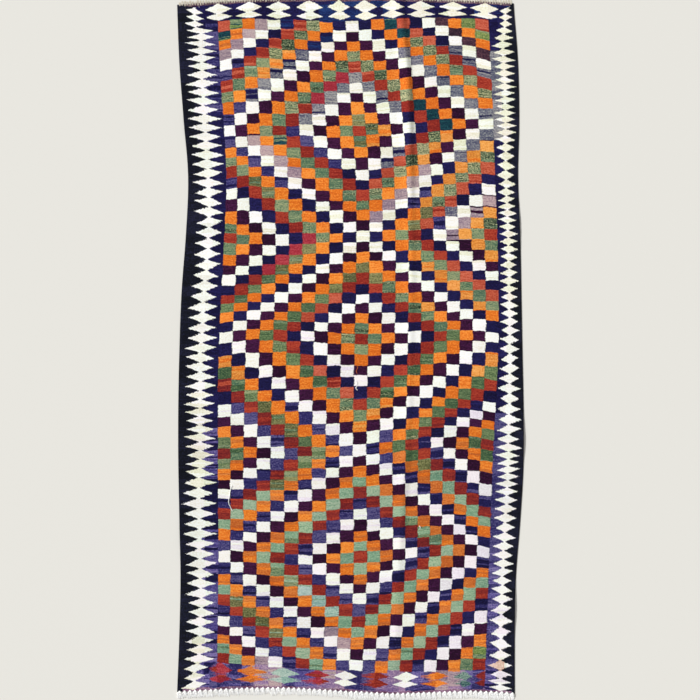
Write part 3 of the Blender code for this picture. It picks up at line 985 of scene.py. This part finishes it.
def yarnCurve(name, runs):
    # one object from many runs of yarn: points, the radius at both ends, and whether the run is closed
    curve = bpy.data.curves.new(name, "CURVE")
    curve.dimensions = "3D"
    curve.bevel_depth = mm
    curve.bevel_resolution = 1
    curve.use_fill_caps = True
    for points, (startRadius, endRadius), closed in runs:
        spline = curve.splines.new("POLY")
        spline.points.add(len(points) - 1)
        for k, point in enumerate(points):
            spline.points[k].co = (*(c * mm for c in point), 1)
            spline.points[k].radius = startRadius + (endRadius - startRadius) * k / (len(points) - 1)
        spline.use_cyclic_u = closed
    return linkObject(name, curve)


def smoothRun(points, steps):
    # a smooth run through a few points
    places = np.linspace(0, 1, len(points))
    at = np.linspace(0, 1, steps)
    return list(zip(*(smooth(places, column, at) for column in zip(*points))))


def evenShares(count):
    # places spread evenly over -1 to 1
    return [2 * (k + 0.5) / count - 1 for k in range(count)]


def overhandKnot(name, chance):
    # the warps of one bundle, drawn from the cloth's edge into an overhand knot, and their loose ends;
    # such a knot is a trefoil, and one of its lobes leans back over the cloth
    runs = []
    radius, spread, edge = knots["plyRadius"], knots["plySpread"], knots["fromEdge"]
    climb = [edge - before for before in knots["climb"]]
    for ply in range(knots["plies"]):
        points = []
        for step in range(knots["steps"]):
            t = 2 * math.pi * step / knots["steps"]
            x, y = math.sin(t) + 2 * math.sin(2 * t), 2 * math.cos(2 * t) - math.cos(t)
            twist = 2 * math.pi * ply / knots["plies"] + knots["plyTurns"] * t
            size = knots["lobe"] + spread * math.cos(twist) / math.hypot(x, y)
            x, y = x * size, y * size
            z = knots["lift"] - knots["rise"] * math.sin(3 * t) + spread * math.sin(twist)
            rest = radius + np.interp(y, climb, (0, knots["onCloth"]))
            points.append((x, y, max(z + knots["lean"] * max(y, 0), rest)))
        runs.append((points, (radius, radius), True))
    thick, thin = knots["tailRadius"], knots["tailRadius"] * knots["tailTip"]
    sheaf = chance.uniform(*knots["sheafReach"])
    for share in evenShares(knots["tails"]):
        reach = sheaf + chance.uniform(*knots["tailReach"])
        atBend, past, atTip = (chance.uniform(-knots["tailStray"], knots["tailStray"]) for _ in range(3))
        root, splayed = knots["tailRoot"] * share, knots["tailSplay"] * share + past
        near, far = (bend * reach for bend in knots["tailBends"])
        run = smoothRun((
            (root, knots["tailStart"], thick),
            (root + atBend, -near, thick + chance.uniform(*knots["tailRise"])),
            (splayed, -far, thick),
            (splayed + atTip, -reach, thin),
        ), knots["tailSteps"])
        runs.append((run, (thick, thin), False))
    wide, narrow = knots["feederRoots"]
    drop, height = knots["feederEnd"]
    thick = knots["feederRadius"]
    for share in evenShares(knots["feeders"]):
        run = ((wide * share, edge, thick), (narrow * share, 0, height), (narrow * share, -drop, height))
        runs.append((run, (thick, thick), False))
    return plainMesh(yarnCurve(name, runs), name)


def warpLoop(name, chance):
    # a warp's turn left standing past the last wefts, its legs darned down on the cloth
    leg, reach, overlap = (chance.uniform(*loops[key]) for key in ("legs", "reach", "overlap"))
    over, radius, brink = loops["onCloth"], loops["radius"], loops["brink"]
    fallen, height = loops["fall"]
    share, rounded = loops["shoulder"]
    side = [
        (leg, -overlap, loops["within"]), (leg, loops["rise"] - overlap, over),
        (leg, -brink, over - brink), (leg, fallen, radius + height),
        (leg, reach - fallen, radius), (share * leg, reach - rounded, radius),
    ]
    points = side + [(0, reach, radius)] + [(-x, y, z) for x, y, z in reversed(side)]
    return plainMesh(yarnCurve(name, [(points, (radius, radius), False)]), name)


ends = {
    "margin": 12,  # mm in from the selvedges
    "inside": 6,  # mm in from the end, where the cloth's height is read
    "railSteps": 60,
    "variants": 6,
    "seeds": (5, 3),  # for the variants' shapes and for their places
}


def railAlong(name, fromEdge):
    # a line beside one end of the cloth, clear of its corners, as high as the cloth's underside
    end, sign = (0, -1) if name == "lower" else (-1, 1)
    margin = ends["margin"] * mm
    xs = np.linspace(outline["left"][1][end] + margin, outline["right"][1][end] - margin, ends["railSteps"])
    ys = edgeAt(name, xs)
    lifts = floorLift(xs, ys - sign * ends["inside"] * mm)
    return [(x, y + sign * fromEdge * mm, lift) for x, y, lift in zip(xs, ys, lifts)]


def spreadAlong(name, end, makePiece, sizes, material):
    # Geometry Nodes set the variants of one piece evenly along an end, each turned and sized a little
    # differently
    shapeSeed, placeSeed = ends["seeds"]
    chance = random.Random(shapeSeed)
    variants = bpy.data.collections.new(name + "_variants")
    bpy.context.scene.collection.children.link(variants)
    for k in range(ends["variants"]):
        piece = makePiece("%s_variant_%d" % (name, k), chance)
        bpy.context.scene.collection.objects.unlink(piece)
        variants.objects.link(piece)

    tree = bpy.data.node_groups.new(name, "GeometryNodeTree")
    inputs = {
        "Rail": ("Geometry", None), "Pieces": ("Collection", variants), "Count": ("Int", sizes["count"]),
        "Turn": ("Float", sizes["turn"]), "Stray": ("Float", sizes["stray"] * mm),
        "Least size": ("Float", sizes["leastSize"]), "Seed": ("Int", placeSeed),
        "Yarn": ("Material", material),
    }
    sockets = {
        label: tree.interface.new_socket(label, in_out="INPUT", socket_type="NodeSocket" + kind).identifier
        for label, (kind, _) in inputs.items()
    }
    tree.interface.new_socket("Finish", in_out="OUTPUT", socket_type="NodeSocketGeometry")

    def add(kind, *values, **settings):
        return addNode(tree, kind, *values, **settings)

    given = add("NodeGroupInput").outputs
    curve = add("GeometryNodeMeshToCurve", given["Rail"])
    places = add("GeometryNodeResampleCurve", curve, named={"Count": given["Count"]})
    pieces = add("GeometryNodeCollectionInfo", given["Pieces"], True, True)
    back = add("ShaderNodeMath:MULTIPLY", given["Turn"], -1.0)
    turn, size, which, off = (
        add("FunctionNodeRandomValue", least, most, None, given["Seed"], data_type=kind)
        for kind, least, most in (
            ("FLOAT", back, given["Turn"]), ("FLOAT", given["Least size"], 1.0),
            ("INT", 0, ends["variants"] - 1), ("FLOAT_VECTOR", (-1, -1, 0), (1, 1, 0)),
        )
    )
    off = add("ShaderNodeVectorMath:SCALE", off, named={"Scale": given["Stray"]})
    places = add("GeometryNodeSetPosition", places, None, None, off)
    turned = add("ShaderNodeCombineXYZ", None, None, turn)
    placed = add("GeometryNodeInstanceOnPoints", places, None, pieces, True, which, turned, size)
    real = add("GeometryNodeRealizeInstances", placed)
    add("NodeGroupOutput", add("GeometryNodeSetMaterial", real, None, given["Yarn"]))

    rail = railAlong(end, sizes["fromEdge"])
    mesh = bpy.data.meshes.new(name)
    mesh.from_pydata(rail, [(k, k + 1) for k in range(len(rail) - 1)], [])
    holder = linkObject(name, mesh)
    modifier = holder.modifiers.new("spread", "NODES")
    modifier.node_group = tree
    for label, (_, value) in inputs.items():
        if value is not None:
            modifier[sockets[label]] = value
    finish = plainMesh(holder, name)
    for piece in list(variants.objects):
        bpy.data.objects.remove(piece)
    bpy.data.collections.remove(variants)
    finish.data.shade_smooth()
    return finish


looseYarns = {
    # shade of the wool or cotton, and its runs across and along the rug in mm, lying on the cloth
    "white": (
        ((-540, -628), (-547, -648), (-551, -676), (-555, -703), (-549, -722), (-538, -744)),
        ((24, -150), (31, -158), (28, -168)),
        ((30, -176), (24, -184), (33, -193)),
        ((314, -812), (319, -819), (316, -826)),
    ),
    "orange": (((28, -78), (33, -92), (27, -104), (31, -117)),),
}
looseTwist = {
    "plyRadius": {"white": 1.1, "orange": 0.6},  # mm
    "stepLength": 1.6,  # mm
    "turn": 1.1,  # radians for each step
    "stray": 1.2,  # mm
    "strayScale": 0.15,  # features to a mm
    "seed": 2.0,
    "rest": 1.7,  # radii, from the cloth up to the middle of the yarn
    "apart": 0.9,  # radii, from there to the middle of a ply
    "tip": 0.8,
}


def looseYarn(shade, material, under):
    # ends of two-ply yarn that have worked loose and lie on the face of the rug
    tree = BVHTree.FromObject(under, bpy.context.evaluated_depsgraph_get())
    radius, scale = looseTwist["plyRadius"][shade], looseTwist["strayScale"]
    runs = []
    for run in looseYarns[shade]:
        length = sum(math.dist(a, b) for a, b in zip(run, run[1:]))
        middle = []
        for x, y in smoothRun(run, round(length / looseTwist["stepLength"])):
            x += looseTwist["stray"] * noise.noise((x * scale, y * scale, looseTwist["seed"]))
            middle.append(Vector((x, y, heightAt(tree, x * mm, y * mm) / mm + looseTwist["rest"] * radius)))
        for ply in range(2):
            points = []
            for k, point in enumerate(middle):
                forward = middle[min(k + 1, len(middle) - 1)] - middle[max(k - 1, 0)]
                turn = math.pi * ply + looseTwist["turn"] * k
                sideways = Vector((-forward.y, forward.x, 0)).normalized() * math.cos(turn)
                off = sideways + Vector((0, 0, math.sin(turn)))
                points.append(point + looseTwist["apart"] * radius * off)
            runs.append((points, (radius, looseTwist["tip"] * radius), False))
    name = "kilim_loose_yarn_" + shade
    made = plainMesh(yarnCurve(name, runs), name)
    made.data.shade_smooth()
    made.data.materials.append(material)
    return made


setStudio()
print("studio set")
kilim = makeCloth()
print("cloth shaped:", len(kilim.data.polygons), "faces")
kilim.data.materials.append(woolMaterial())
print("wool woven")

whiteCotton = yarnMaterial("undyed_plied_cotton", ("FAF9F5", "FFFFFF"))
creamCotton = yarnMaterial("aged_plied_cotton", ("CFC4AC", "F4ECDA"))
orangeWool = yarnMaterial("loose_orange_wool", ("D2601C", "F08A3A"))
knottedEnd = spreadAlong("kilim_knotted_end", "lower", overhandKnot, knots, whiteCotton)
loopedEnd = spreadAlong("kilim_looped_end", "upper", warpLoop, loops, creamCotton)
print("ends tied:", len(knottedEnd.data.polygons), "and", len(loopedEnd.data.polygons), "faces")
whiteYarn = looseYarn("white", whiteCotton, kilim)
orangeYarn = looseYarn("orange", orangeWool, kilim)
print("loose yarns laid")

finishes = (
    (kilim, "wool", ["woven_cloth"]),
    (knottedEnd, "cotton", ["warp_finish_lower"]),
    (loopedEnd, "cotton", ["warp_finish_upper"]),
    (whiteYarn, "cotton", []),
    (orangeYarn, "wool", []),
)
for piece, slot, replaced in finishes:
    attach(piece, "root")
    if replaced:
        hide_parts(*replaced)
